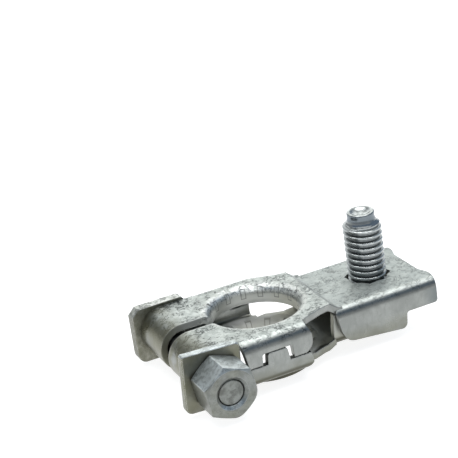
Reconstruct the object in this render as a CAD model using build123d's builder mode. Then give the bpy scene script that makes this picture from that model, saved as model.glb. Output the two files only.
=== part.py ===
from build123d import *
import os
from math import cos, sin, radians, sqrt

os.makedirs("parts", exist_ok=True)


def save(solid, name):
    """Raise a finished solid into the frame of the part, and write it."""
    placed = solid.moved(Location((0, 0, LIFT)))
    placed.label = name
    export_step(placed, f"parts/{name}.step")


# ---------------------------------------------------------------------------
# Battery terminal clamp: a folded, plated sheet body that wraps a clamp bolt
# at one end and carries an upright M8 stud at the other.
# Frame: millimetres, +Z up. Origin on the axis of the post bore, in the plane
# of the lower collar's free edge, which the clamp rests on. +X runs from the
# ring to the stud, and the clamp nut is on the -Y side. The solids are drawn
# with the top of the ring at H and raised by LIFT as they are exported.
# ---------------------------------------------------------------------------

# sheet body
T = 1.4               # sheet thickness
H = 10.7              # overall height of the folded ring, bottom to top face
ARM_W = 12.6          # half width of the two arms
ARM_X = -9.75         # where the arms meet the ring flanges
RING_W = 14.7         # half width over the ring flanges
BEND_R = 3.0          # outer bend radius of the upper flanges
SLOT_W = 3.76         # slot between the arms
ROLL_X = -15.4        # centre of the roll round the bolt
ROLL_R = 4.95         # outer radius of the roll
LOW_Z = H - 2 * ROLL_R       # underside of the lower sheet
LOW_BEND = 2.05       # outer bend radius of the lower flanges

# post bore and its two drawn collars
BORE_R = 8.95
MOUTH_R = 1.75        # radius at the mouth of each collar
COLLAR_T = 1.3        # wall left after drawing
COLLAR_D = 3.8        # depth of the upper collar from its face
LBORE_R = 9.42        # the lower collar is wider, to suit the taper of the post
LBORE_X = 0.5         # and stands a little nearer to the stud
LCOLLAR_END = -1.35   # its free edge
LIFT = -LCOLLAR_END   # raises every solid, so that this edge is in z = 0

# side flanges of the ring
UP_LOW_L = 5.15       # lower edge of the upper flange, left of the notch
UP_LOW_R = 4.75       # and right of it
LO_TOP_L = 4.92       # upper edge of the lower flange, left of the tab
LO_TOP_R = 4.52
TAB_X0, TAB_X1 = -4.70, -0.10
TAB_TOP = 7.26
NOTCH_X0, NOTCH_X1 = -5.90, 1.00
NOTCH_TOP = 7.48
FLANGE_END = 5.5      # right end of the upper flange, rounded in plan

# neck between ring and platform: half plan of its sheared edge
NECK = [(4.75, 12.2), (6.8, 11.35), (9.6, 10.2), (11.2, 9.82)]
NECK_W = 9.82
RIDGE_X = 11.9
STEP_X = 13.8

# stud platform
PLAT_TOP = 9.34
PLAT_W = 10.85        # half width over the platform flanges
PLAT_BEND = 2.5
PLAT_X0 = 12.8
PLAT_END = 35.85      # tips of the two end corners
STUD_X = 25.9
STAR_R = 4.78         # points of the star hole
STAR_R_IN = 4.1

# inner channel of the lower sheet, nested in the platform
IN_W = 9.35
IN_Z = 1.2
IN_X0, IN_X1 = 12.35, 27.0
IN_TOP = 7.8
IN_BEND = 1.9

# stud M8
STUD_R = 3.96         # over the thread's crests
STUD_NECK_R = 3.75    # plain neck where it passes the sheet
STUD_TIP = 23.5
DOG_R = 2.84

# clamp bolt M6 with square head, washer plate and nut
BOLT_X = -15.55
BOLT_Z = 5.25
BOLT_R = 2.95
HEAD_T = 2.6
WASH_T = 1.5
NUT_AF = 10.0
NUT_H = 7.25
THREAD_R = 2.68       # thread drawn at its pitch radius
NUT_FACE = -(ARM_W + WASH_T + NUT_H)


# ---------------------------------------------------------- ring, upper sheet
with BuildPart() as ring_top:
    with BuildSketch(Plane.YZ.offset(ARM_X)) as s1:
        with BuildLine():
            Polyline((-RING_W, UP_LOW_R), (-RING_W, H), (RING_W, H),
                     (RING_W, UP_LOW_R), close=True)
        make_face()
        fillet(s1.vertices().group_by(Axis.Y)[-1], BEND_R)
    extrude(amount=12.1 - ARM_X)
    with BuildSketch(Plane.YZ.offset(ARM_X - 1)) as s2:
        with BuildLine():
            Polyline((-RING_W + T, 0), (-RING_W + T, H - T),
                     (RING_W - T, H - T), (RING_W - T, 0), close=True)
        make_face()
        fillet(s2.vertices().group_by(Axis.Y)[-1], BEND_R - T)
    extrude(amount=30, mode=Mode.SUBTRACT)
    # left ends of the flanges lean with the fold
    with BuildSketch(Plane.XZ) as s3:
        with BuildLine():
            Polyline((ARM_X - 1, H + 1), (ARM_X - 0.05, H + 1), (ARM_X - 0.05, H),
                     (-8.78, UP_LOW_L), (-8.6, 3), (ARM_X - 1, 3), close=True)
        make_face()
    extrude(amount=20, both=True, mode=Mode.SUBTRACT)
    # higher lower edge on the left side of the notch, and the notch itself
    with BuildSketch(Plane.XZ) as s4:
        with BuildLine():
            Polyline((-12, UP_LOW_L), (NOTCH_X0, UP_LOW_L), (NOTCH_X0 + 0.15, NOTCH_TOP),
                     (NOTCH_X1 - 0.25, NOTCH_TOP), (NOTCH_X1, UP_LOW_R - 1),
                     (-12, UP_LOW_R - 1), close=True)
        make_face()
        fillet(s4.vertices().filter_by_position(Axis.Y, NOTCH_TOP - 0.05, NOTCH_TOP + 0.05), 0.5)
    extrude(amount=20, both=True, mode=Mode.SUBTRACT)
    # rounded lower right corner of each flange
    with BuildSketch(Plane.XZ) as s5:
        with BuildLine():
            f1 = Spline((FLANGE_END - 2.1, UP_LOW_R), (FLANGE_END - 1.3, UP_LOW_R + 0.42),
                        (FLANGE_END - 0.6, UP_LOW_R + 1.2), (FLANGE_END - 0.15, UP_LOW_R + 2.05),
                        (FLANGE_END, UP_LOW_R + 2.85), tangents=((1, 0.1), (0, 1)))
            f2 = Polyline(f1 @ 1, (FLANGE_END + 9, UP_LOW_R + 2.85), (FLANGE_END + 9, 2),
                          (FLANGE_END - 2.1, 2), f1 @ 0)
        make_face()
    extrude(amount=20, both=True, mode=Mode.SUBTRACT)

# the flange's end leans back over its bend
with BuildPart() as flange_lean:
    with BuildSketch(Plane.XZ.offset(12.2)) as s5b:
        with BuildLine():
            e1 = Spline((FLANGE_END, UP_LOW_R + 2.85), (FLANGE_END - 0.12, 8.2),
                        (FLANGE_END - 0.45, 8.75), (FLANGE_END - 0.85, 9.7), (FLANGE_END - 0.95, H + 0.5),
                        tangents=((0, 1), (0, 1)))
            e2 = Polyline(e1 @ 1, (FLANGE_END + 2, H + 0.5), (FLANGE_END + 2, UP_LOW_R + 2.85), e1 @ 0)
        make_face()
    extrude(amount=3)
    mirror(about=Plane.XZ)

# plan of the side windows, cut from the near and the far side
with BuildPart() as window_cut:
    with BuildSketch(Plane.XY.offset(-2)) as s6:
        with BuildLine():
            w1 = Line((FLANGE_END - 0.9, 17), (FLANGE_END - 0.9, RING_W + 0.05))
            w2 = Spline(w1 @ 1, (FLANGE_END - 0.28, RING_W - 0.22), (FLANGE_END, RING_W - 0.75),
                        (FLANGE_END - 0.08, RING_W - 1.2))
            w3 = Polyline(w2 @ 1, *NECK, (12.3, NECK_W), (12.3, 17), w1 @ 0)
        make_face()
        fillet(s6.vertices().sort_by_distance((4.75, 12.2))[0], 0.45)
        mirror(about=Plane.XZ)
    extrude(amount=H + 4)

# ------------------------------------------------------------- stud platform
with BuildPart() as platform:
    with BuildSketch(Plane.YZ.offset(11)) as s7:
        with BuildLine():
            Polyline((-PLAT_W, 0.5), (-PLAT_W, PLAT_TOP), (PLAT_W, PLAT_TOP),
                     (PLAT_W, 0.5), close=True)
        make_face()
        fillet(s7.vertices().group_by(Axis.Y)[-1], PLAT_BEND)
    extrude(amount=26)
    with BuildSketch(Plane.YZ.offset(10)) as s8:
        with BuildLine():
            Polyline((-PLAT_W + T, -2), (-PLAT_W + T, PLAT_TOP - T),
                     (PLAT_W - T, PLAT_TOP - T), (PLAT_W - T, -2), close=True)
        make_face()
        fillet(s8.vertices().group_by(Axis.Y)[-1], PLAT_BEND - T)
    extrude(amount=40, mode=Mode.SUBTRACT)
    # side outline of the flanges: deep under the neck, shallow at the end
    with BuildSketch(Plane.XZ) as s9:
        with BuildLine():
            l1 = Polyline((12.5, 12), (12.5, 9.4), (12.85, 8.2), (13.2, 6.0), (13.5, 4.6))
            l2 = Spline(l1 @ 1, (14.0, 3.3), (14.8, 2.25), (16.1, 1.7),
                        tangents=(l1 % 1, (1, -0.22)))
            l3 = Polyline(l2 @ 1, (28.15, 0.5), (28.45, 4.05), (35.6, 4.05), (35.7, 5.4),
                          (36.2, 9.0), (36.2, 12), (12.5, 12))
        make_face()
        fillet(s9.vertices().sort_by_distance((28.15, 0.5))[0], 1.2)
        fillet(s9.vertices().sort_by_distance((28.45, 4.05))[0], 0.6)
        fillet(s9.vertices().sort_by_distance((35.6, 4.05))[0], 0.7)
    extrude(amount=20, both=True, mode=Mode.INTERSECT)
    # plan outline: the end is set back between its two rounded corners
    with BuildSketch(Plane.XY.offset(-1)) as s10:
        with BuildLine():
            p1 = Polyline((STEP_X - 0.15, 0), (STEP_X - 0.15, NECK_W - 0.02), (PLAT_X0 + 0.5, NECK_W - 0.02))
            p2 = Spline(p1 @ 1, (PLAT_X0 + 0.08, NECK_W + 0.35), (PLAT_X0 - 0.2, PLAT_W + 1))
            p3 = Polyline(p2 @ 1, (PLAT_END - 0.25, PLAT_W + 1), (PLAT_END - 0.2, PLAT_W))
            p4 = Spline(p3 @ 1, (PLAT_END, 9.0), (PLAT_END, 7.2), (PLAT_END - 0.35, 6.0),
                        (PLAT_END - 0.7, 5.0), (PLAT_END - 0.8, 4.0), tangents=((0.2, -1), (0, -1)))
            p5 = Line(p4 @ 1, (PLAT_END - 0.8, 0))
            p6 = Line(p5 @ 1, p1 @ 0)
        make_face()
        mirror(about=Plane.XZ)
    extrude(amount=20, mode=Mode.INTERSECT)
    # star hole round the stud
    with BuildSketch(Plane.XY.offset(PLAT_TOP - 5)) as s11:
        pts = []
        for k in range(8):
            a0 = radians(22.5 + 45 * k)
            a1 = radians(45 + 45 * k)
            pts.append((STUD_X + STAR_R * cos(a0), STAR_R * sin(a0)))
            pts.append((STUD_X + STAR_R_IN * cos(a1), STAR_R_IN * sin(a1)))
        with BuildLine():
            Polyline(*pts, close=True)
        make_face()
    extrude(amount=8, mode=Mode.SUBTRACT)

# step down from the ring to the platform
with BuildPart() as step_down:
    with BuildSketch(Plane.XZ) as s12:
        with BuildLine():
            Polyline((11.0, H), (RIDGE_X, H), (STEP_X, PLAT_TOP), (14.6, PLAT_TOP),
                     (14.6, PLAT_TOP - T), (STEP_X - 0.45, PLAT_TOP - T),
                     (RIDGE_X - 0.45, H - T), (11.0, H - T), close=True)
        make_face()
        fillet(s12.vertices().sort_by_distance((RIDGE_X, H))[0], 1.3)
        fillet(s12.vertices().sort_by_distance((STEP_X, PLAT_TOP))[0], 0.9)
        fillet(s12.vertices().sort_by_distance((STEP_X - 0.45, PLAT_TOP - T))[0], 1.3)
        fillet(s12.vertices().sort_by_distance((RIDGE_X - 0.45, H - T))[0], 0.5)
    extrude(amount=NECK_W, both=True)

# ---------------------------------------------------------- ring, lower sheet
with BuildPart() as ring_low:
    with BuildSketch(Plane.YZ.offset(-9.0)) as s13:
        with BuildLine():
            Polyline((-RING_W, LOW_Z), (-RING_W, 8), (RING_W, 8), (RING_W, LOW_Z), close=True)
        make_face()
        fillet(s13.vertices().group_by(Axis.Y)[0], LOW_BEND)
    extrude(amount=12.1 + 9.0)
    with BuildSketch(Plane.YZ.offset(-12.0)) as s15:
        with BuildLine():
            Polyline((-RING_W + T, LOW_Z + T), (-RING_W + T, 9), (RING_W - T, 9), (RING_W - T, LOW_Z + T), close=True)
        make_face()
        fillet(s15.vertices().group_by(Axis.Y)[0], LOW_BEND - T)
    extrude(amount=30, mode=Mode.SUBTRACT)
with BuildPart() as flange_low_side:
    with BuildSketch(Plane.XZ) as s17:
        with BuildLine():
            Polyline((-9.0, -1), (-8.85, LO_TOP_L), (TAB_X0 - 0.12, LO_TOP_L), (TAB_X0 + 0.1, TAB_TOP),
                     (TAB_X1 - 0.35, TAB_TOP), (TAB_X1 + 0.1, LO_TOP_R), (4.6, LO_TOP_R),
                     (4.95, 3.2), (4.95, -1), close=True)
        make_face()
        fillet(s17.vertices().filter_by_position(Axis.Y, TAB_TOP - 0.05, TAB_TOP + 0.05), 0.55)
    extrude(amount=20, both=True)
# the near lower flange has its right corner worn round
with BuildPart() as flange_corner:
    with BuildSketch(Plane.XZ.offset(12.3)) as s17b:
        with BuildLine():
            k1 = Spline((2.9, 0.7), (3.7, 0.95), (4.3, 1.4), (4.75, 2.0), (5.3, 2.9))
            k2 = Polyline(k1 @ 1, (5.3, -1), (2.9, -1), k1 @ 0)
        make_face()
    extrude(amount=3)

# and the far one ends a little nearer to the notch
with BuildPart() as flange_far_end:
    with BuildSketch(Plane.XY) as s17c:
        with BuildLine():
            Polyline((4.3, 16), (4.3, 12.6), (4.45, 12.3), (5.0, 12.0), (6.5, 12.0), (6.5, 16), close=True)
        make_face()
    extrude(amount=8)

# its other end runs on as far as the bolt's head
with BuildPart() as flange_far_tail:
    with BuildSketch(Plane.YZ.offset(-9.6)) as s17d:
        with BuildLine():
            Polyline((12.0, LOW_Z), (RING_W, LOW_Z), (RING_W, LO_TOP_L), (RING_W - T, LO_TOP_L),
                     (RING_W - T, LOW_Z + T), (12.0, LOW_Z + T), close=True)
        make_face()
        fillet(s17d.vertices().sort_by_distance((RING_W, LOW_Z))[0], LOW_BEND)
        fillet(s17d.vertices().sort_by_distance((RING_W - T, LOW_Z + T))[0], LOW_BEND - T)
    extrude(amount=0.9)

# ------------------------------------------------- neck and inner channel
with BuildPart() as neck_low:
    with BuildSketch(Plane.XZ) as s18:
        with BuildLine():
            n1 = Polyline((2.5, LOW_Z), (10.8, LOW_Z), (12.3, IN_Z), (16, IN_Z),
                          (16, IN_Z + T), (12.1, IN_Z + T), (10.65, LOW_Z + T), (2.5, LOW_Z + T),
                          close=True)
        make_face()
    extrude(amount=12, both=True)
    with BuildSketch(Plane.XY.offset(-1)) as s19:
        with BuildLine():
            m1 = Polyline((2.5, 0), (2.5, 11.0), (4.6, 11.0), *[(x, y) for x, y in NECK[1:]],
                          (12.6, IN_W), (13.2, IN_W - 0.9), (16, IN_W - 0.9), (16, 0),
                          close=True)
        make_face()
        mirror(about=Plane.XZ)
    extrude(amount=8, mode=Mode.INTERSECT)

with BuildPart() as inner_channel:
    with BuildSketch(Plane.YZ.offset(IN_X0)) as s20:
        with BuildLine():
            Polyline((-IN_W, IN_TOP), (-IN_W, IN_Z), (IN_W, IN_Z), (IN_W, IN_TOP), close=True)
        make_face()
        fillet(s20.vertices().group_by(Axis.Y)[0], IN_BEND)
    extrude(amount=IN_X1 - IN_X0)
    with BuildSketch(Plane.YZ.offset(IN_X0 - 1)) as s21:
        with BuildLine():
            Polyline((-IN_W + T, 12), (-IN_W + T, IN_Z + T), (IN_W - T, IN_Z + T), (IN_W - T, 12), close=True)
        make_face()
        fillet(s21.vertices().group_by(Axis.Y)[0], IN_BEND - T)
    extrude(amount=40, mode=Mode.SUBTRACT)
    with BuildSketch(Plane.XZ) as s22:
        with BuildLine():
            Polyline((IN_X0 + 0.45, 8), (IN_X0, 3.4), (IN_X0 + 0.1, 1.9), (12.9, IN_Z), (12.9, 1),
                     (IN_X1, 1), (IN_X1, 8), close=True)
        make_face()
    extrude(amount=20, both=True, mode=Mode.INTERSECT)

# ------------------------------------------------------------ arms and roll
with BuildPart() as arms:
    with BuildSketch(Plane.XZ) as s23:
        with BuildLine():
            a1 = Line((ARM_X + 1.5, H), (ROLL_X, H))
            a2 = ThreePointArc(a1 @ 1, (ROLL_X - ROLL_R, H - ROLL_R), (ROLL_X, LOW_Z))
            a3 = Polyline(a2 @ 1, (ARM_X + 1.5, LOW_Z), (ARM_X + 1.5, LOW_Z + T), (ROLL_X, LOW_Z + T))
            a4 = ThreePointArc(a3 @ 1, (ROLL_X - ROLL_R + T, H - ROLL_R), (ROLL_X, H - T))
            a5 = Polyline(a4 @ 1, (ARM_X + 1.5, H - T), a1 @ 0)
        make_face()
    extrude(amount=ARM_W, both=True)

# ------------------------------------------------------------------ collars
with BuildPart() as collar_top:
    with BuildSketch(Plane.XZ) as s24:
        with BuildLine():
            RO = BORE_R + COLLAR_T
            c1 = Line((BORE_R + MOUTH_R + 0.6, H), (BORE_R + MOUTH_R, H))
            c2 = RadiusArc(c1 @ 1, (BORE_R, H - MOUTH_R), -MOUTH_R)
            c3 = Polyline(c2 @ 1, (BORE_R, H - COLLAR_D + 0.15), (BORE_R + 0.15, H - COLLAR_D),
                          (RO - 0.15, H - COLLAR_D), (RO, H - COLLAR_D + 0.15),
                          (RO, H - T - 0.5))
            c4 = RadiusArc(c3 @ 1, (RO + 0.5, H - T), 0.5)
            c5 = Polyline(c4 @ 1, (BORE_R + MOUTH_R + 0.6, H - T), c1 @ 0)
        make_face()
    revolve(axis=Axis.Z)

# the lower collar is drawn downwards too, and stands out below the sheet
with BuildPart() as collar_low:
    with BuildSketch(Plane.XZ) as s24b:
        with BuildLine():
            RI, RO, ZT = LBORE_X + LBORE_R, LBORE_X + LBORE_R + COLLAR_T, LOW_Z + T
            b1 = Line((RI + MOUTH_R + 0.6, ZT), (RI + MOUTH_R, ZT))
            b2 = RadiusArc(b1 @ 1, (RI, ZT - MOUTH_R), -MOUTH_R)
            b3 = Polyline(b2 @ 1, (RI, LCOLLAR_END + 0.15), (RI + 0.15, LCOLLAR_END),
                          (RO - 0.15, LCOLLAR_END), (RO, LCOLLAR_END + 0.15),
                          (RO, LOW_Z - 0.5))
            b4 = RadiusArc(b3 @ 1, (RO + 0.5, LOW_Z), 0.5)
            b5 = Polyline(b4 @ 1, (RI + MOUTH_R + 0.6, LOW_Z), b1 @ 0)
        make_face()
    revolve(axis=Axis((LBORE_X, 0, 0), (0, 0, 1)))

with BuildPart() as top_half:
    add(ring_top.part)
    add(window_cut.part, mode=Mode.SUBTRACT)
    add(flange_lean.part, mode=Mode.SUBTRACT)
    add(platform.part)
    add(step_down.part)
    add(arms.part)
    # bore through the top sheet, then its collar
    with BuildSketch(Plane.XY.offset(H - 3)) as s25:
        Circle(BORE_R + MOUTH_R + 0.3)
    extrude(amount=6, mode=Mode.SUBTRACT)
    add(collar_top.part)

with BuildPart() as low_half:
    add(ring_low.part)
    add(flange_low_side.part, mode=Mode.INTERSECT)
    add(window_cut.part, mode=Mode.SUBTRACT)
    add(flange_corner.part, mode=Mode.SUBTRACT)
    add(flange_far_end.part, mode=Mode.SUBTRACT)
    add(flange_far_tail.part)
    add(neck_low.part)
    add(inner_channel.part)

with BuildPart() as clamp_body:
    add(top_half.part)
    add(low_half.part)
    # bore through the lower sheet, then its collar
    with BuildSketch(Plane(origin=(LBORE_X, 0, -3))) as s26:
        Circle(LBORE_R + MOUTH_R + 0.3)
    extrude(amount=3 + LOW_Z + T + 0.2, mode=Mode.SUBTRACT)
    add(collar_low.part)
    # slot between the arms, through roll and collars
    with BuildSketch(Plane.XY.offset(-3)) as s27:
        with Locations((-14, 0)):
            Rectangle(17, SLOT_W)
    extrude(amount=20, mode=Mode.SUBTRACT)
save(clamp_body.part, "clamp_body")

# ------------------------------------------------------------------ M8 stud
HEAD_Z0, HEAD_Z1 = IN_Z + T, PLAT_TOP - T
with BuildPart() as stud_bolt:
    with BuildSketch(Plane(origin=(STUD_X, 0, 0), x_dir=(1, 0, 0), z_dir=(0, -1, 0))) as s30:
        with BuildLine():
            g1 = Polyline((0, HEAD_Z0), (5.6, HEAD_Z0), (5.6, HEAD_Z1), (STUD_NECK_R, HEAD_Z1),
                          (STUD_NECK_R, PLAT_TOP + 0.06), (STUD_R, PLAT_TOP + 0.06), (STUD_R, 20.3), (3.55, 20.95), (2.82, 21.55), (2.76, 21.9))
            g2 = Spline(g1 @ 1, (2.80, 22.8), (2.84, 23.2), tangents=((0, 1), (0, 1)))
            g3 = Polyline(g2 @ 1, (2.66, STUD_TIP), (2.25, STUD_TIP), (1.55, 22.95), (0, 22.75), (0, HEAD_Z0))
        make_face()
    revolve(axis=Axis((STUD_X, 0, 0), (0, 0, 1)))
    # flat head, held between the two layers of sheet
    with BuildSketch(Plane(origin=(STUD_X, 0, HEAD_Z0))) as s31:
        Rectangle(12.4, 2 * (IN_W - T - 0.2))
    extrude(amount=HEAD_Z1 - HEAD_Z0)
    chamfer(stud_bolt.edges().filter_by(Axis.X).group_by(Axis.Z)[0], 0.6)
save(stud_bolt.part, "stud_bolt")

# --------------------------------------------------- clamp bolt, square head
bolt_plane = Plane(origin=(BOLT_X, 0, BOLT_Z), x_dir=(1, 0, 0), z_dir=(0, -1, 0))
with BuildPart() as clamp_bolt:
    # head, outer face away from the arms
    with BuildSketch(bolt_plane.offset(-(ARM_W + HEAD_T))) as s32:
        with BuildLine():
            Polyline((-6.1, -5.75), (5.62, -5.75), (5.62, 6.08), (-6.1, 6.08), close=True)
        make_face()
        chamfer(s32.vertices().sort_by_distance((-6.1, 6.08))[0], 1.5)
        fillet(s32.vertices().sort_by_distance((-6.1, -5.75))[0], 1.9)
        fillet(s32.vertices().sort_by_distance((5.62, 6.08))[0], 1.2)
        fillet(s32.vertices().sort_by_distance((5.62, -5.75))[0], 1.5)
    extrude(amount=HEAD_T)
    chamfer(clamp_bolt.faces().sort_by(Axis.Y)[-1].edges(), 0.35)
    with BuildSketch(bolt_plane.offset(-ARM_W - 0.5)) as s33:
        Circle(BOLT_R)
    extrude(amount=ARM_W + 0.5 + 7.5)
    with BuildSketch(bolt_plane.offset(7.0)) as s34:
        Circle(THREAD_R)
    extrude(amount=-NUT_FACE - 0.6 - 7.0)
    chamfer(clamp_bolt.faces().sort_by(Axis.Y)[0].edges(), 0.25)
save(clamp_bolt.part, "clamp_bolt")

# ------------------------------------------------------ square washer plate
wash_plane = Plane(origin=(BOLT_X, -ARM_W, BOLT_Z), x_dir=(cos(radians(-3.1)), 0, sin(radians(-3.1))),
                   z_dir=(0, -1, 0))
with BuildPart() as washer_plate:
    with BuildSketch(wash_plane) as s35:
        with BuildLine():
            Polyline((-6.85, -5.88), (5.4, -5.88), (5.4, 6.5), (-6.85, 6.5), close=True)
        make_face()
        fillet(s35.vertices().sort_by_distance((-6.85, 6.5))[0], 0.5)
        fillet(s35.vertices().sort_by_distance((-6.85, -5.88))[0], 1.5)
        fillet(s35.vertices().sort_by_distance((5.4, 6.5))[0], 1.0)
        fillet(s35.vertices().sort_by_distance((5.4, -5.88))[0], 1.3)
        Circle(BOLT_R + 0.08, mode=Mode.SUBTRACT)
    extrude(amount=WASH_T)
    chamfer(washer_plate.faces().sort_by(Axis.Y)[0].outer_wire().edges(), 0.2)
save(washer_plate.part, "washer_plate")

# ------------------------------------------------------------------ hex nut
nut_plane = Plane(origin=(BOLT_X, -(ARM_W + WASH_T), BOLT_Z), x_dir=(1, 0, 0), z_dir=(0, -1, 0))
NUT_E = NUT_AF / sqrt(3)
# chamfered barrel that trims the hexagon: 30 degrees on both faces
with BuildPart() as nut_barrel:
    with BuildSketch(Plane(origin=(BOLT_X, -(ARM_W + WASH_T), BOLT_Z), x_dir=(1, 0, 0), z_dir=(0, 0, 1))) as s38:
        with BuildLine():
            Polyline((THREAD_R + 0.05, -0.6), (3.375, 0), (4.78, 0),
                     (NUT_E + 0.4, -(NUT_E + 0.4 - 4.78) * 0.577),
                     (NUT_E + 0.4, -NUT_H + (NUT_E + 0.4 - 4.78) * 0.577), (4.78, -NUT_H),
                     (3.375, -NUT_H), (THREAD_R + 0.05, -NUT_H + 0.6), close=True)
        make_face()
    revolve(axis=Axis((BOLT_X, 0, BOLT_Z), (0, 1, 0)))
with BuildPart() as hex_nut:
    with BuildSketch(nut_plane) as s39:
        RegularPolygon(NUT_E, 6, rotation=39.5)
        # two of its corners are worn round
        fillet(s39.vertices().sort_by_distance((NUT_E * cos(radians(-20.5)), NUT_E * sin(radians(-20.5))))[0], 3.0)
        fillet(s39.vertices().sort_by_distance((NUT_E * cos(radians(279.5)), NUT_E * sin(radians(279.5))))[0], 2.0)
    extrude(amount=NUT_H)
    add(nut_barrel.part, mode=Mode.INTERSECT)
save(hex_nut.part, "hex_nut")
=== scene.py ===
import math

import bpy
import numpy as np
from mathutils import Matrix, Vector


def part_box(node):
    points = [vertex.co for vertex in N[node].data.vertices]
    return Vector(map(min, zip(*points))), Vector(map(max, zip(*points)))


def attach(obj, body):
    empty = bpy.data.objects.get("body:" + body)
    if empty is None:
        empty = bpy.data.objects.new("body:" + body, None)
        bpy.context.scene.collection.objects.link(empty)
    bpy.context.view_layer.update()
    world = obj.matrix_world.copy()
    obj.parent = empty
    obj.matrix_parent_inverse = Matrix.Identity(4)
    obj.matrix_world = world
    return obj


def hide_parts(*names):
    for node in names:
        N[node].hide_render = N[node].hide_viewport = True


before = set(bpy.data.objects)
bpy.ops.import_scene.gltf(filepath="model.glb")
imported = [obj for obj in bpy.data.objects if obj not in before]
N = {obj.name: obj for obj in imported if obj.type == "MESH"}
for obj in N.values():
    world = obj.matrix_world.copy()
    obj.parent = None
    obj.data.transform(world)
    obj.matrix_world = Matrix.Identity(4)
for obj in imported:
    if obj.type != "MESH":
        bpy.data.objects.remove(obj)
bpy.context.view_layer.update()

scene = bpy.context.scene
MM = 0.001

# ------------------------------------------------------------ node helpers


class Tree:
    """Short names for building a material's nodes."""

    def __init__(self, mat):
        mat.use_nodes = True
        self.t = mat.node_tree
        self.t.nodes.clear()
        self.out = self.t.nodes.new("ShaderNodeOutputMaterial")

    def new(self, kind, **props):
        n = self.t.nodes.new(kind)
        for k, v in props.items():
            setattr(n, k, v)
        return n

    def put(self, socket, v):
        if isinstance(v, bpy.types.NodeSocket):
            self.t.links.new(v, socket)
        elif v is not None:
            socket.default_value = v

    def math(self, op, a, b=None, c=None, clamp=False):
        n = self.new("ShaderNodeMath", operation=op, use_clamp=clamp)
        for i, v in enumerate((a, b, c)):
            if v is not None:
                self.put(n.inputs[i], v)
        return n.outputs[0]

    def vmath(self, op, a, b=None):
        n = self.new("ShaderNodeVectorMath", operation=op)
        self.put(n.inputs[0], a)
        if b is not None:
            self.put(n.inputs[1], b)
        return n.outputs["Value"] if op in ("DOT_PRODUCT", "LENGTH") else n.outputs[0]

    def ramp(self, x, a, b, lo=0.0, hi=1.0, smooth=True):
        """lo below a, hi above b."""
        n = self.new("ShaderNodeMapRange", interpolation_type="SMOOTHSTEP" if smooth else "LINEAR")
        self.put(n.inputs["Value"], x)
        n.inputs["From Min"].default_value = a
        n.inputs["From Max"].default_value = b
        n.inputs["To Min"].default_value = lo
        n.inputs["To Max"].default_value = hi
        return n.outputs[0]

    def noise(self, vec, size_mm, detail=2.0, rough=0.5, distort=0.0, offset=(0, 0, 0), stretch=(1, 1, 1)):
        """Noise whose features are about size_mm across."""
        m = self.new("ShaderNodeMapping")
        self.put(m.inputs["Vector"], vec)
        s = 1000.0 / size_mm
        m.inputs["Scale"].default_value = (s * stretch[0], s * stretch[1], s * stretch[2])
        m.inputs["Location"].default_value = offset
        n = self.new("ShaderNodeTexNoise")
        n.inputs["Scale"].default_value = 1.0
        n.inputs["Detail"].default_value = detail
        n.inputs["Roughness"].default_value = rough
        n.inputs["Distortion"].default_value = distort
        self.t.links.new(m.outputs[0], n.inputs["Vector"])
        return n.outputs["Fac"]

    def mix(self, fac, a, b):
        n = self.new("ShaderNodeMix", data_type="RGBA")
        self.put(n.inputs[0], fac)
        self.put(n.inputs[6], a)
        self.put(n.inputs[7], b)
        return n.outputs[2]

    def mixf(self, fac, a, b):
        n = self.new("ShaderNodeMix", data_type="FLOAT")
        self.put(n.inputs[0], fac)
        self.put(n.inputs[2], a)
        self.put(n.inputs[3], b)
        return n.outputs[0]

    def xyz(self, vec):
        n = self.new("ShaderNodeSeparateXYZ")
        self.put(n.inputs[0], vec)
        return n.outputs


def rgb(r, g, b):
    """sRGB 0-255 to linear."""
    def f(c):
        c = c / 255.0
        return c / 12.92 if c <= 0.04045 else ((c + 0.055) / 1.055) ** 2.4
    return (f(r), f(g), f(b), 1.0)


def hairlines(t, vec, size, width, where, seed):
    """Curly hairline marks: the level lines of a noise, broken up by another noise."""
    a = t.noise(vec, size, detail=3.0, rough=0.62, distort=0.6, offset=(seed, 3.1 * seed, 0))
    line = t.ramp(t.math("ABSOLUTE", t.math("SUBTRACT", a, 0.5)), 0.0, width, 1.0, 0.0)
    gate = t.noise(vec, size * 1.5, detail=2.0, rough=0.6, offset=(7.7 * seed, 0, seed))
    return t.math("MULTIPLY", line, t.ramp(gate, where, where + 0.10))


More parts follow.
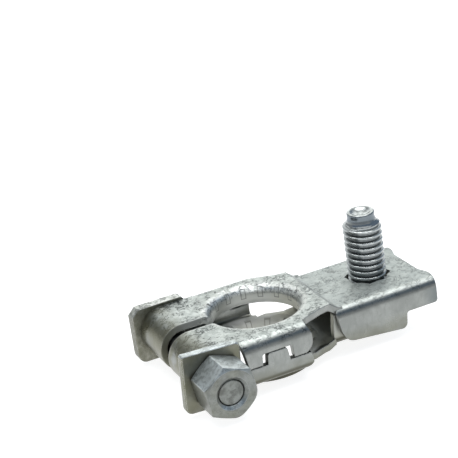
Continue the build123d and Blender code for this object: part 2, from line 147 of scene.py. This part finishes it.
def plated(name, light, dark, rough=0.34, mottle_mm=2.2, mottle=0.5, grain=0.5, edge_r=0.16,
           edge_wear_highlight=0.25, edge_wear_highlight_colour=(205, 208, 205), tint=None, tint_amount=0.0, scratch=0.35,
           metallic=0.92, crevice_painted_shade=0.0, extra=None):
    """Dull zinc-type plating on formed steel: mottled, finely pitted, with handling marks, rubbed edges partly painted
    as a highlight, and painted shade in crevices.
    """
    mat = bpy.data.materials.new(name)
    t = Tree(mat)
    tc = t.new("ShaderNodeTexCoord")
    P = tc.outputs["Object"]
    nrm = tc.outputs["Normal"]
    bsdf = t.new("ShaderNodeBsdfPrincipled")
    bsdf.inputs["Metallic"].default_value = metallic
    bsdf.inputs["IOR"].default_value = 1.5

    big = t.noise(P, mottle_mm * 2.4, detail=3.0, rough=0.6, offset=(3, 1, 4))
    mid = t.noise(P, mottle_mm, detail=4.0, rough=0.62, distort=0.3, offset=(9, 2, 6))
    fine = t.noise(P, 0.32, detail=2.0, rough=0.6, offset=(5, 8, 1))
    blotch = t.math("ADD", t.math("MULTIPLY", big, 0.45), t.math("MULTIPLY", mid, 0.55))
    m = t.ramp(blotch, 0.40, 0.62)
    col = t.mix(t.math("MULTIPLY", m, mottle), rgb(*light), rgb(*dark))
    if tint is not None:
        tn = t.noise(P, 6.0, detail=3.0, rough=0.55, offset=(1, 6, 2))
        col = t.mix(t.math("MULTIPLY", t.ramp(tn, 0.35, 0.65), tint_amount), col, rgb(*tint))
    # fine specks
    speck = t.ramp(fine, 0.60, 0.72)
    col = t.mix(t.math("MULTIPLY", speck, 0.30 * grain), col, rgb(*[c * 0.62 for c in dark]))
    marks = hairlines(t, P, 1.9, 0.022, 0.52, 2.0)
    if scratch:
        col = t.mix(t.math("MULTIPLY", marks, scratch), col, rgb(*[c * 0.55 for c in dark]))
    rough_v = t.math("ADD", rough, t.math("MULTIPLY", t.math("SUBTRACT", mid, 0.5), 0.22))
    height = t.math("ADD", t.math("MULTIPLY", fine, 0.16 * grain), t.math("MULTIPLY", mid, 0.55 * grain))
    height = t.math("SUBTRACT", height, t.math("MULTIPLY", marks, 0.12 * scratch))
    strength = 0.32
    ctx = dict(t=t, P=P, n=nrm, col=col, rough=rough_v, height=height, big=big, mid=mid, fine=fine,
               strength=strength)
    if extra is not None:
        extra(ctx)
    # rounded edges, rubbed pale in patches: partly wear, partly a painted highlight
    bev = t.new("ShaderNodeBevel", samples=6)
    bev.inputs["Radius"].default_value = edge_r * MM
    geo = t.new("ShaderNodeNewGeometry")
    dot = t.vmath("DOT_PRODUCT", bev.outputs[0], geo.outputs["Normal"])
    edge = t.ramp(dot, 0.80, 0.985, 1.0, 0.0)
    rub = t.ramp(t.noise(P, 1.4, detail=3.0, rough=0.6, offset=(2, 2, 9)), 0.34, 0.58)
    ctx["col"] = t.mix(t.math("MULTIPLY", t.math("MULTIPLY", edge, rub), edge_wear_highlight), ctx["col"],
                       rgb(*edge_wear_highlight_colour))
    # painted shade: ambient occlusion darkens the colour in crevices and between parts
    if crevice_painted_shade:
        ao = t.new("ShaderNodeAmbientOcclusion", samples=6)
        ao.inputs["Distance"].default_value = 2.6 * MM
        crevice_shade_mask = t.ramp(ao.outputs["AO"], 0.30, 0.85, 1.0, 0.0)
        crevice_shade_mask = t.math("MULTIPLY", crevice_shade_mask, ctx.get("open", 1.0))
        ctx["col"] = t.mix(t.math("MULTIPLY", crevice_shade_mask, crevice_painted_shade), ctx["col"], rgb(66, 66, 58))
    bump = t.new("ShaderNodeBump")
    bump.inputs["Distance"].default_value = 0.10 * MM
    bump.inputs["Strength"].default_value = ctx["strength"]
    t.put(bump.inputs["Height"], ctx["height"])
    t.put(bump.inputs["Normal"], bev.outputs[0])
    t.put(bsdf.inputs["Normal"], bump.outputs[0])
    if "metal" in ctx:
        t.put(bsdf.inputs["Metallic"], ctx["metal"])
    t.put(bsdf.inputs["Base Color"], ctx["col"])
    t.put(bsdf.inputs["Roughness"], t.math("MAXIMUM", ctx["rough"], 0.12))
    t.put(t.out.inputs["Surface"], bsdf.outputs[0])
    return mat


# -------------------------------------------------------------- sheet body
H = 10.7
LIFT = 1.35          # height of the drawing's zero above the part's origin, mm


def sheet_extra(c):
    t, P = c["t"], c["P"]
    x, y, z = t.xyz(P)[0:3]
    z = t.math("SUBTRACT", z, LIFT * MM)
    nz = t.xyz(c["n"])[2]
    high = t.ramp(z, 4.6 * MM, 6.4 * MM)
    up = t.math("MULTIPLY", t.ramp(nz, 0.55, 0.93), high)
    # the upper faces are painted paler, partly a painted top light and partly their scuffed finish, and covered in
    # short curly scratches and pits
    m2 = t.noise(P, 1.15, detail=4.0, rough=0.68, distort=0.5, offset=(4, 7, 3))
    m3 = t.noise(P, 5.5, detail=2.0, rough=0.5, offset=(14, 2, 3))
    plat = t.ramp(x, 12.0 * MM, 14.0 * MM)
    second = t.mix(plat, rgb(160, 166, 162), rgb(180, 186, 183))
    pale = t.mix(t.ramp(m2, 0.38, 0.66), rgb(196, 201, 197), second)
    pale = t.mix(t.math("MULTIPLY", t.ramp(m3, 0.45, 0.62), t.math("ADD", 0.15, t.math("MULTIPLY", t.ramp(x, 12.0 * MM, 14.0 * MM, 1.0, 0.0), 0.30))), pale, rgb(158, 163, 159))
    c["col"] = t.mix(up, c["col"], pale)
    h1 = hairlines(t, P, 2.3, 0.060, 0.46, 5.0)
    h2 = hairlines(t, P, 1.3, 0.060, 0.49, 8.0)
    h3 = hairlines(t, P, 3.6, 0.026, 0.44, 11.0)
    hh = t.math("MAXIMUM", t.math("MAXIMUM", h1, t.math("MULTIPLY", h2, 0.8)), h3)
    # more of them on the arms and the ring than on the platform
    xs = t.ramp(x, 0.011, 0.016, 1.0, 0.62)
    over = t.math("MULTIPLY", t.ramp(nz, 0.22, 0.62), high)
    k = t.math("MULTIPLY", t.math("MULTIPLY", hh, over), xs)
    arm = t.ramp(x, -11.0 * MM, -4.0 * MM, 0.96, 0.80)
    c["col"] = t.mix(t.math("MULTIPLY", k, arm), c["col"], rgb(62, 67, 66))
    c["height"] = t.math("SUBTRACT", c["height"], t.math("MULTIPLY", k, 0.55))
    c["height"] = t.math("ADD", c["height"], t.math("MULTIPLY", t.math("MULTIPLY", m2, over), 0.9))
    # faint upright scuffs on the flanges
    side = t.ramp(t.math("ABSOLUTE", nz), 0.10, 0.30, 1.0, 0.0)
    scuff = t.ramp(t.noise(P, 1.1, detail=4.0, rough=0.65, distort=0.4, offset=(8, 3, 1), stretch=(1.6, 1.6, 0.35)), 0.52, 0.68)
    c["col"] = t.mix(t.math("MULTIPLY", t.math("MULTIPLY", scuff, side), 0.22), c["col"], rgb(112, 115, 112))
    # painted shade: the flanges darken towards the platform's free end
    end_painted_shade = t.math("MULTIPLY", t.ramp(x, 31.5 * MM, 35.6 * MM), side)
    c["col"] = t.mix(t.math("MULTIPLY", end_painted_shade, 0.60), c["col"], rgb(98, 107, 110))
    # the sheared faces of the slot are paler
    slot = t.math("MULTIPLY", t.ramp(t.math("ABSOLUTE", y), 2.0 * MM, 2.2 * MM, 1.0, 0.0), t.ramp(x, -9.4 * MM, -9.0 * MM, 1.0, 0.0))
    c["col"] = t.mix(t.math("MULTIPLY", slot, 0.7), c["col"], rgb(206, 208, 203))
    c["rough"] = t.math("ADD", c["rough"], t.math("MULTIPLY", up, 0.11))
    c["rough"] = t.math("ADD", c["rough"], t.math("MULTIPLY", t.math("MULTIPLY", plat, t.ramp(nz, 0.93, 0.99)), 0.20))
    # round the bore: radius and angle about the post axis
    r = t.math("SQRT", t.math("ADD", t.math("MULTIPLY", x, x), t.math("MULTIPLY", y, y)))
    # coined pads on both collars, one every 22.5 degrees
    outlines = []
    for cx, z0, z1, rmax in ((0.0, 8.2, 10.25, 11.0), (0.5, 0.85, 2.14, 11.2)):
        xc = t.math("SUBTRACT", x, cx * MM)
        rr = t.math("SQRT", t.math("ADD", t.math("MULTIPLY", xc, xc), t.math("MULTIPLY", y, y)))
        an = t.math("DIVIDE", t.math("ARCTAN2", y, xc), 2 * math.pi / 16)
        u = t.math("FRACT", t.math("ADD", an, 16 + 0.5 - 80.0 / 22.5))
        du = t.math("ABSOLUTE", t.math("SUBTRACT", u, 0.5))
        zh = (z1 - z0) / 2
        dz = t.math("ABSOLUTE", t.math("SUBTRACT", z, (z0 + z1) / 2 * MM))
        near = t.ramp(rr, (rmax - 0.1) * MM, (rmax + 0.1) * MM, 1.0, 0.0)
        inu = t.ramp(du, 0.120, 0.150, 1.0, 0.0)
        inz = t.ramp(dz, (zh - 0.10) * MM, zh * MM, 1.0, 0.0)
        pad = t.math("MULTIPLY", t.math("MULTIPLY", inu, inz), near)
        rim_u = t.ramp(t.math("ABSOLUTE", t.math("SUBTRACT", du, 0.138)), 0.0, 0.040, 1.0, 0.0)
        rim_z = t.ramp(t.math("ABSOLUTE", t.math("SUBTRACT", dz, (zh - 0.05) * MM)), 0.0, 0.15 * MM, 1.0, 0.0)
        wide_u = t.ramp(du, 0.150, 0.172, 1.0, 0.0)
        wide_z = t.ramp(dz, zh * MM, (zh + 0.10) * MM, 1.0, 0.0)
        rim = t.math("MAXIMUM", t.math("MULTIPLY", rim_u, wide_z), t.math("MULTIPLY", rim_z, wide_u))
        rim = t.math("MULTIPLY", rim, near)
        c["height"] = t.math("SUBTRACT", c["height"], t.math("MULTIPLY", pad, 0.9))
        outlines.append(rim)
    # the drawn mouths are dented
    mouth = t.math("MULTIPLY", t.ramp(r, 9.05 * MM, 9.5 * MM), t.ramp(r, 11.4 * MM, 12.4 * MM, 1.0, 0.0))
    mouth = t.math("MULTIPLY", mouth, t.ramp(z, 8.6 * MM, 9.4 * MM))
    dent = t.noise(P, 1.5, detail=3.0, rough=0.6, distort=0.8, offset=(0.3, 5, 12))
    c["height"] = t.math("ADD", c["height"], t.math("MULTIPLY", t.math("MULTIPLY", dent, mouth), 1.5))
    # painted highlight: the upper collar's inner wall is painted pale
    bowl = t.math("MULTIPLY", t.ramp(r, 10.2 * MM, 11.2 * MM, 1.0, 0.0), t.ramp(z, 6.6 * MM, 8.2 * MM))
    c["col"] = t.mix(t.math("MULTIPLY", bowl, 0.85), c["col"], rgb(206, 209, 204))
    # painted highlight: a broken near-white band at the mouth, on the +y side only
    lip_painted_highlight = t.math("MULTIPLY", bowl, t.ramp(z, 8.9 * MM, 9.9 * MM))
    lip_painted_highlight = t.math("MULTIPLY", lip_painted_highlight, t.ramp(t.noise(P, 2.1, detail=4.0, rough=0.65, distort=0.8, offset=(1, 15, 2)), 0.40, 0.60))
    lip_painted_highlight = t.math("MULTIPLY", lip_painted_highlight, t.ramp(y, -4.0 * MM, 5.0 * MM))
    c["col"] = t.mix(t.math("MULTIPLY", lip_painted_highlight, 0.75), c["col"], rgb(244, 246, 243))
    hl = t.math("MULTIPLY", t.math("MAXIMUM", h1, h2), t.ramp(z, 8.6 * MM, 9.4 * MM))
    c["col"] = t.mix(t.math("MULTIPLY", t.math("MULTIPLY", hl, bowl), 0.60), c["col"], rgb(84, 90, 92))
    c["rough"] = t.math("ADD", c["rough"], t.math("MULTIPLY", bowl, 0.10))
    # painted light: the lower dish, seen through the bore, is painted near white and made rough
    lowdish = t.math("MULTIPLY", t.ramp(z, 2.6 * MM, 3.4 * MM, 1.0, 0.0), t.ramp(r, 12.2 * MM, 13.2 * MM, 1.0, 0.0))
    lowdish = t.math("MULTIPLY", lowdish, t.ramp(nz, 0.05, 0.35))
    c["col"] = t.mix(t.math("MULTIPLY", lowdish, 0.95), c["col"], rgb(232, 233, 229))
    c["rough"] = t.math("ADD", c["rough"], t.math("MULTIPLY", lowdish, 0.48))
    # the hollow between the neck's two layers is dull and painted pale, a painted light in the hollow
    inside = t.math("MULTIPLY", t.ramp(x, 5.0 * MM, 9.5 * MM), t.ramp(z, 8.9 * MM, 9.3 * MM, 1.0, 0.0))
    inside = t.math("MULTIPLY", inside, t.ramp(t.math("ABSOLUTE", y), 9.0 * MM, 9.6 * MM, 1.0, 0.0))
    inside = t.math("MULTIPLY", inside, t.ramp(z, 1.5 * MM, 1.9 * MM))
    c["col"] = t.mix(t.math("MULTIPLY", inside, 0.80), c["col"], rgb(214, 213, 200))
    c["rough"] = t.math("ADD", c["rough"], t.math("MULTIPLY", inside, 0.40))
    c["open"] = t.math("SUBTRACT", 1.0, t.math("MAXIMUM", t.math("MAXIMUM", inside, lowdish), t.math("MAXIMUM", bowl, over)))
    # the lower dish and the slot's sheared faces are dull, less metallic; both are whitish, the dish's white a painted
    # light
    dull = t.math("MAXIMUM", t.math("MULTIPLY", lowdish, 0.85), t.math("MULTIPLY", slot, 0.5))
    c["metal"] = t.math("SUBTRACT", 0.92, t.math("MULTIPLY", dull, 0.85))
    # painted shade on the undersides and the outside of the lower collar
    under_painted_shade = t.math("MAXIMUM", t.ramp(nz, -0.04, -0.45), t.ramp(z, 0.40 * MM, 0.75 * MM, 1.0, 0.0))
    c["col"] = t.mix(t.math("MULTIPLY", under_painted_shade, 0.92), c["col"], rgb(56, 58, 54))
    pit = t.math("MULTIPLY", t.ramp(dent, 0.60, 0.66), mouth)
    c["col"] = t.mix(t.math("MULTIPLY", pit, 0.75), c["col"], rgb(70, 74, 73))
    for rim in outlines:
        c["col"] = t.mix(t.math("MULTIPLY", rim, 0.66), c["col"], rgb(66, 68, 66))
    # olive cast low down and at the arms' rolls
    low = t.ramp(z, 1.0 * MM, 5.2 * MM, 1.0, 0.0)
    left = t.ramp(x, -19.0 * MM, -13.0 * MM, 1.0, 0.0)
    ol = t.math("MULTIPLY", t.math("MAXIMUM", t.math("MULTIPLY", low, 0.55), t.math("MULTIPLY", left, 0.85)),
                t.ramp(c["big"], 0.25, 0.5))
    c["col"] = t.mix(ol, c["col"], rgb(112, 111, 92))
    c["strength"] = 0.40


sheet_mat = plated("plating_sheet", (150, 153, 150), (124, 127, 124), rough=0.30, mottle_mm=3.0,
                   mottle=0.55, grain=0.35, edge_r=0.34, edge_wear_highlight=0.22, scratch=0.12, crevice_painted_shade=0.45,
                   extra=sheet_extra)
def upper_painted_light_and_wear(c):
    """Faces turned upwards are painted paler, a painted top light with a worn mottle, and get hairline scratches."""
    t, P = c["t"], c["P"]
    nz = t.xyz(c["n"])[2]
    up = t.ramp(nz, 0.15, 0.62)
    m2 = t.noise(P, 1.4, detail=3.0, rough=0.6, distort=0.4, offset=(2, 9, 5))
    c["col"] = t.mix(up, c["col"], t.mix(t.ramp(m2, 0.40, 0.62), rgb(205, 212, 212), rgb(172, 178, 177)))
    h = hairlines(t, P, 1.6, 0.050, 0.50, 3.0)
    c["col"] = t.mix(t.math("MULTIPLY", t.math("MULTIPLY", h, up), 0.55), c["col"], rgb(80, 84, 82))


nut_mat = plated("plating_nut", (136, 139, 136), (96, 99, 95), rough=0.34, mottle_mm=1.6,
                 mottle=0.7, grain=1.0, edge_r=0.34, edge_wear_highlight=0.50, metallic=0.75, edge_wear_highlight_colour=(225, 228, 226),
                 tint=(122, 123, 106), tint_amount=0.40, scratch=0.35, crevice_painted_shade=0.50, extra=upper_painted_light_and_wear)
washer_mat = plated("plating_washer", (132, 133, 124), (104, 105, 93), rough=0.34, mottle_mm=2.6,
                    mottle=0.6, grain=0.5, edge_r=0.30, edge_wear_highlight=0.95, metallic=0.80, edge_wear_highlight_colour=(240, 241, 236),
                    tint=(118, 117, 94), tint_amount=0.55, scratch=0.25, crevice_painted_shade=0.35, extra=upper_painted_light_and_wear)


def stud_extra(c):
    """Crests painted bright on their upward faces, a painted highlight, and the thread's roots darkened, painted shade
    with some dirt, by distance from the stud's axis.
    """
    t, P = c["t"], c["P"]
    x, y, z = t.xyz(P)[0:3]
    xs = t.math("SUBTRACT", x, 25.9 * MM)
    r = t.math("SQRT", t.math("ADD", t.math("MULTIPLY", xs, xs), t.math("MULTIPLY", y, y)))
    r = t.math("ADD", r, t.math("MULTIPLY", t.math("SUBTRACT", c["mid"], 0.5), 0.10 * MM))
    # painted shade in the thread's roots, partly dirt
    root = t.math("MULTIPLY", t.ramp(r, 3.36 * MM, 3.86 * MM, 1.0, 0.0), t.ramp(r, 3.0 * MM, 3.2 * MM))
    root = t.math("MULTIPLY", root, t.ramp(z, 21.6 * MM, 22.1 * MM, 1.0, 0.0))
    # painted highlight on the crests where they face upwards
    crest = t.ramp(r, 3.84 * MM, 3.94 * MM)
    c["col"] = t.mix(t.math("MULTIPLY", root, 0.62), c["col"], rgb(60, 65, 67))
    up = t.ramp(t.xyz(c["n"])[2], 0.10, 0.55)
    c["col"] = t.mix(t.math("MULTIPLY", t.math("MULTIPLY", crest, up), 0.80), c["col"], rgb(228, 232, 232))
    # painted shade: the dog's sides are darkened to a bluish grey
    dog = t.math("MULTIPLY", t.ramp(z, 22.9 * MM, 23.5 * MM), t.ramp(t.xyz(c["n"])[2], 0.35, 0.75, 1.0, 0.0))
    c["col"] = t.mix(t.math("MULTIPLY", dog, 0.75), c["col"], rgb(96, 106, 114))
    # painted top light: the dog's end face is painted paler, with a worn mottle
    top = t.math("MULTIPLY", t.ramp(z, 23.6 * MM, 24.0 * MM), t.ramp(t.xyz(c["n"])[2], 0.35, 0.75))
    worn = t.ramp(t.noise(P, 0.9, detail=4.0, rough=0.7, distort=0.6, offset=(4, 4, 4)), 0.36, 0.60)
    c["col"] = t.mix(t.math("MULTIPLY", top, 0.7), c["col"], t.mix(worn, rgb(222, 226, 224), rgb(150, 154, 152)))


stud_mat = plated("plating_stud", (166, 170, 170), (142, 147, 149), rough=0.22, mottle_mm=1.2,
                  mottle=0.4, grain=0.3, edge_r=0.06, edge_wear_highlight=0.2, scratch=0.10, extra=stud_extra)


def bolt_extra(c):
    """The bolt head's upper faces are painted paler, a painted top light, and scratched like the sheet."""
    t, P = c["t"], c["P"]
    nz = t.xyz(c["n"])[2]
    # painted top light: upward faces are painted paler
    up = t.ramp(nz, 0.45, 0.85)
    m2 = t.noise(P, 1.2, detail=4.0, rough=0.68, distort=0.5, offset=(6, 3, 3))
    c["col"] = t.mix(up, c["col"], t.mix(t.ramp(m2, 0.38, 0.62), rgb(226, 228, 222), rgb(178, 181, 173)))
    c["metal"] = t.math("SUBTRACT", 0.80, t.math("MULTIPLY", up, 0.30))
    h = t.math("MAXIMUM", hairlines(t, P, 2.0, 0.060, 0.45, 4.0), hairlines(t, P, 1.1, 0.060, 0.47, 6.0))
    c["col"] = t.mix(t.math("MULTIPLY", t.math("MULTIPLY", h, up), 0.85), c["col"], rgb(58, 60, 57))
    c["height"] = t.math("SUBTRACT", c["height"], t.math("MULTIPLY", t.math("MULTIPLY", h, up), 0.5))
    # the head's side facing -x, away from the bore, is darkened to olive, more in noisy spots
    nx = t.xyz(c["n"])[0]
    edge = t.math("MULTIPLY", t.ramp(nx, -0.75, -0.35, 1.0, 0.0), t.ramp(nz, 0.35, 0.60, 1.0, 0.0))
    spots = t.ramp(m2, 0.48, 0.60)
    c["col"] = t.mix(t.math("MULTIPLY", edge, t.math("ADD", 0.45, t.math("MULTIPLY", spots, 0.35))), c["col"], rgb(66, 66, 52))
    # the end inside the nut is greyer
    end = t.ramp(t.xyz(P)[1], -17.0 * MM, -15.0 * MM, 1.0, 0.0)
    grey = t.mix(t.ramp(c["mid"], 0.38, 0.62), rgb(128, 132, 130), rgb(96, 99, 97))
    c["col"] = t.mix(t.math("MULTIPLY", end, 0.85), c["col"], grey)


bolt_mat = plated("plating_bolt", (156, 156, 144), (112, 112, 99), rough=0.36, mottle_mm=1.5,
                  mottle=0.8, grain=0.9, edge_r=0.45, edge_wear_highlight=0.55, metallic=0.80, edge_wear_highlight_colour=(205, 206, 200),
                  tint=(124, 123, 100), tint_amount=0.50, scratch=0.70,
                  crevice_painted_shade=0.70, extra=bolt_extra)


def dress(node, mat):
    o = N[node]
    o.data.materials.clear()
    o.data.materials.append(mat)
    return o


dress("clamp_body", sheet_mat)
dress("hex_nut", nut_mat)
dress("washer_plate", washer_mat)
dress("clamp_bolt", bolt_mat)
rounding = N["clamp_bolt"].modifiers.new("worn_corners", "BEVEL")
rounding.width = 0.45 * MM
rounding.segments = 3
rounding.limit_method = "ANGLE"
rounding.angle_limit = math.radians(34)

# -------------------------------------------------------------- M8 stud
STUD_X = 25.9
NECK_TOP = 7.94
PITCH = 1.285


def stud_radius(z, turn):
    """Radius at height z (mm) and angle turn (0-1): rolled right-hand thread, then the dog point."""
    ph = (z - 21.05) / PITCH + turn
    ph = ph - np.floor(ph)
    # trapezoid-like tooth with rounded crest and root
    tooth = 0.5 + 0.5 * np.cos(2 * np.pi * ph)
    tooth = np.clip((tooth - 0.5) * 1.35 + 0.5, 0, 1)
    tooth = tooth * tooth * (3 - 2 * tooth)
    crest, root = 3.96, 3.30
    r = root + (crest - root) * tooth
    # lead-in at the top: the crests are cut by the end's taper
    taper = np.interp(z, [20.4, 20.75, 21.0, 21.3, 21.6, 21.9], [4.2, 3.86, 3.55, 3.25, 3.04, 2.92])
    return np.minimum(r, taper)


def build_stud():
    nt = 120
    zs = list(np.arange(NECK_TOP, 21.9, PITCH / 22)) + [21.9]
    dog = [(2.82, 22.3), (2.79, 22.6), (2.82, 22.85), (2.84, 23.15), (2.83, 23.28), (2.78, 23.40), (2.68, 23.48),
           (2.55, 23.50), (2.38, 23.49), (2.22, 23.42), (2.00, 23.28), (1.75, 23.12), (1.45, 22.98),
           (1.1, 22.86), (0.7, 22.79), (0.35, 22.76)]
    th = np.arange(nt) / nt
    verts, faces = [], []
    for z in zs:
        rr = stud_radius(np.full(nt, z), th)
        for k in range(nt):
            a = 2 * math.pi * th[k]
            verts.append((STUD_X + rr[k] * math.cos(a), rr[k] * math.sin(a), z))
    for r, z in dog:
        for k in range(nt):
            a = 2 * math.pi * th[k]
            verts.append((STUD_X + r * math.cos(a), r * math.sin(a), z))
    rows = len(zs) + len(dog)
    for i in range(rows - 1):
        for k in range(nt):
            k2 = (k + 1) % nt
            faces.append((i * nt + k, i * nt + k2, (i + 1) * nt + k2, (i + 1) * nt + k))
    verts.append((STUD_X, 0, 22.75))
    tip = len(verts) - 1
    for k in range(nt):
        faces.append(((rows - 1) * nt + k, (rows - 1) * nt + (k + 1) % nt, tip))
    faces.append(tuple(reversed(range(nt))))
    me = bpy.data.meshes.new("stud_threaded")
    me.from_pydata([(v[0] * MM, v[1] * MM, (v[2] + LIFT) * MM) for v in verts], [], faces)
    me.update()
    me.shade_smooth()
    me.set_sharp_from_angle(angle=math.radians(40))
    o = bpy.data.objects.new("stud_threaded", me)
    scene.collection.objects.link(o)
    return o


stud = build_stud()
stud.data.materials.append(stud_mat)

# its flat head, held between the two layers of sheet
lo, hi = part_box("stud_bolt")
hx0, hx1 = lo.x, hi.x
hy0, hy1 = lo.y, hi.y
hz0, hz1 = lo.z, (NECK_TOP + LIFT) * MM
c = 0.6 * MM
hv, hf = [], []
for z, ins in ((hz0, c), (hz0 + c, 0.0), (hz1, 0.0)):
    hv += [(hx0 + ins * 0, hy0 + ins, z), (hx1, hy0 + ins, z), (hx1, hy1 - ins, z), (hx0, hy1 - ins, z)]
hf.append((3, 2, 1, 0))
for i in range(2):
    for k in range(4):
        k2 = (k + 1) % 4
        hf.append((i * 4 + k, i * 4 + k2, (i + 1) * 4 + k2, (i + 1) * 4 + k))
hf.append((8, 9, 10, 11))
hm = bpy.data.meshes.new("stud_head")
hm.from_pydata(hv, [], hf)
hm.update()
head = bpy.data.objects.new("stud_head", hm)
scene.collection.objects.link(head)
head.data.materials.append(stud_mat)
bv = head.modifiers.new("round", "BEVEL")
bv.width = 0.25 * MM
bv.segments = 3
for o in (stud, head):
    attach(o, "clamp")
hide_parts("stud_bolt")

# ---------------------------------------------------------------- floor
floor_z = min(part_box(n)[0].z for n in N) - 0.00002
fm = bpy.data.meshes.new("floor")
S = 3.0
fm.from_pydata([(-S, -S, floor_z), (S, -S, floor_z), (S, S, floor_z), (-S, S, floor_z)], [], [(0, 1, 2, 3)])
fm.update()
floor = bpy.data.objects.new("floor", fm)
scene.collection.objects.link(floor)
fmat = bpy.data.materials.new("pale_floor")
ft = Tree(fmat)
fb = ft.new("ShaderNodeBsdfPrincipled")
fb.inputs["Base Color"].default_value = (0.48, 0.48, 0.48, 1)
fb.inputs["Roughness"].default_value = 0.95
fb.inputs["Specular IOR Level"].default_value = 0.0
fb.inputs["Emission Color"].default_value = (1, 1, 1, 1)
fb.inputs["Emission Strength"].default_value = 0.86
ft.put(ft.out.inputs["Surface"], fb.outputs[0])
fm.materials.append(fmat)

# ---------------------------------------------------------------- light
world = bpy.data.worlds.new("studio")
scene.world = world
world.use_nodes = True
wt = world.node_tree
wt.nodes.clear()
wo = wt.nodes.new("ShaderNodeOutputWorld")
wb = wt.nodes.new("ShaderNodeBackground")
wt.links.new(wb.outputs[0], wo.inputs["Surface"])


class WTree(Tree):
    def __init__(self, tree):
        self.t = tree


w = WTree(wt)
wtc = w.new("ShaderNodeTexCoord")
wx, wy, wz = w.xyz(wtc.outputs["Generated"])[0:3]
back = w.math("MULTIPLY", w.ramp(wy, 0.05, 0.55), w.ramp(wx, -0.38, 0.26))
back = w.math("MULTIPLY", back, w.ramp(wz, 0.62, 0.80, 1.0, 0.50))
# towards the camera: a grey low wall, a dark bluish band above it, then the pale ceiling
band = w.math("MULTIPLY", w.ramp(wz, 0.30, 0.48), w.ramp(wz, 0.72, 0.84, 1.0, 0.0))
front = w.mix(band, (0.50, 0.51, 0.52, 1), (0.085, 0.15, 0.24, 1))
front = w.mix(w.ramp(wz, 0.76, 0.88), front, (0.95, 0.97, 0.98, 1))
# behind on the left: dark, with a paler patch low down
side = w.ramp(wy, 0.10, 0.35)
low_left = w.math("MULTIPLY", w.ramp(wx, -0.50, -0.40, 1.0, 0.0), w.ramp(wz, 0.12, 0.28, 1.0, 0.0))
left = w.mix(low_left, (0.34, 0.36, 0.38, 1), (0.85, 0.86, 0.84, 1))
wcol = w.mix(back, w.mix(side, front, left), (1.52, 1.55, 1.54, 1))
# a dim blue wall on the right
wcol = w.mix(w.math("MULTIPLY", w.ramp(wx, 0.58, 0.80), w.ramp(wz, 0.70, 0.85, 1.0, 0.0)), wcol, (0.16, 0.23, 0.32, 1))
w.put(wb.inputs["Color"], wcol)
wb.inputs["Strength"].default_value = 1.0


def area(name, loc, aim, size_x, size_y, power, col=(1, 1, 1)):
    d = bpy.data.lights.new(name, "AREA")
    d.shape = "RECTANGLE"
    d.size, d.size_y = size_x, size_y
    d.energy = power
    d.color = col
    o = bpy.data.objects.new(name, d)
    scene.collection.objects.link(o)
    o.location = loc
    o.rotation_mode = "QUATERNION"
    o.rotation_quaternion = (Vector(loc) - Vector(aim)).to_track_quat("Z", "Y")
    return o


# radiance of an area light = power / (pi * area): 0.16 x 0.10 m at 0.30 m up
area("top_box", (0.02, 0.02, 0.32), (0.01, 0, 0.005), 0.42, 0.13, 0.55)

# a small lamp through the bore, on the lower dish
lamp = bpy.data.lights.new("bore_lamp", "SPOT")
lamp.energy = 0.46
lamp.spot_size = math.radians(7.0)
lamp.spot_blend = 1.0
lamp.shadow_soft_size = 0.004
lamp_o = bpy.data.objects.new("bore_lamp", lamp)
scene.collection.objects.link(lamp_o)
lamp_o.location = (-0.0408, -0.1036, 0.1059)
lamp_o.rotation_mode = "QUATERNION"
lamp_o.rotation_quaternion = (Vector(lamp_o.location) - Vector((0.004, 0.010, 0.003))).to_track_quat("Z", "Y")

# ---------------------------------------------------------------- camera
C = Vector((-113.5003961553669, -276.8159152186709, 152.20278303777974 + LIFT)) * MM
ax = Vector((0.8990669477220824, -0.41592572432412583, -0.1366909483438811))
ay = Vector((0.27747559459776694, 0.2998238272320318, 0.9127502215976462))
az = Vector((-0.338653093764569, -0.8585519579323012, 0.3849709308691996))
cam_data = bpy.data.cameras.new("camera")
cam = bpy.data.objects.new("camera", cam_data)
scene.collection.objects.link(cam)
cam.matrix_world = Matrix(((ax.x, ay.x, az.x, C.x), (ax.y, ay.y, az.y, C.y), (ax.z, ay.z, az.z, C.z), (0, 0, 0, 1)))
cam_data.sensor_fit = "HORIZONTAL"
cam_data.sensor_width = 36.0
cam_data.lens = 1652.4 / 458.0 * 36.0
cam_data.shift_x = 0.5 - 222.735 / 458.0
cam_data.shift_y = 231.699 / 458.0 - 0.5
cam_data.clip_start, cam_data.clip_end = 0.01, 20.0
scene.camera = cam
scene.view_settings.view_transform = "Standard"

# print each CAD mesh's vertex and face counts and whether it has custom normals
for n in ("clamp_body", "clamp_bolt", "washer_plate", "hex_nut"):
    me = N[n].data
    print(n, len(me.vertices), len(me.polygons), "custom normals", me.has_custom_normals)
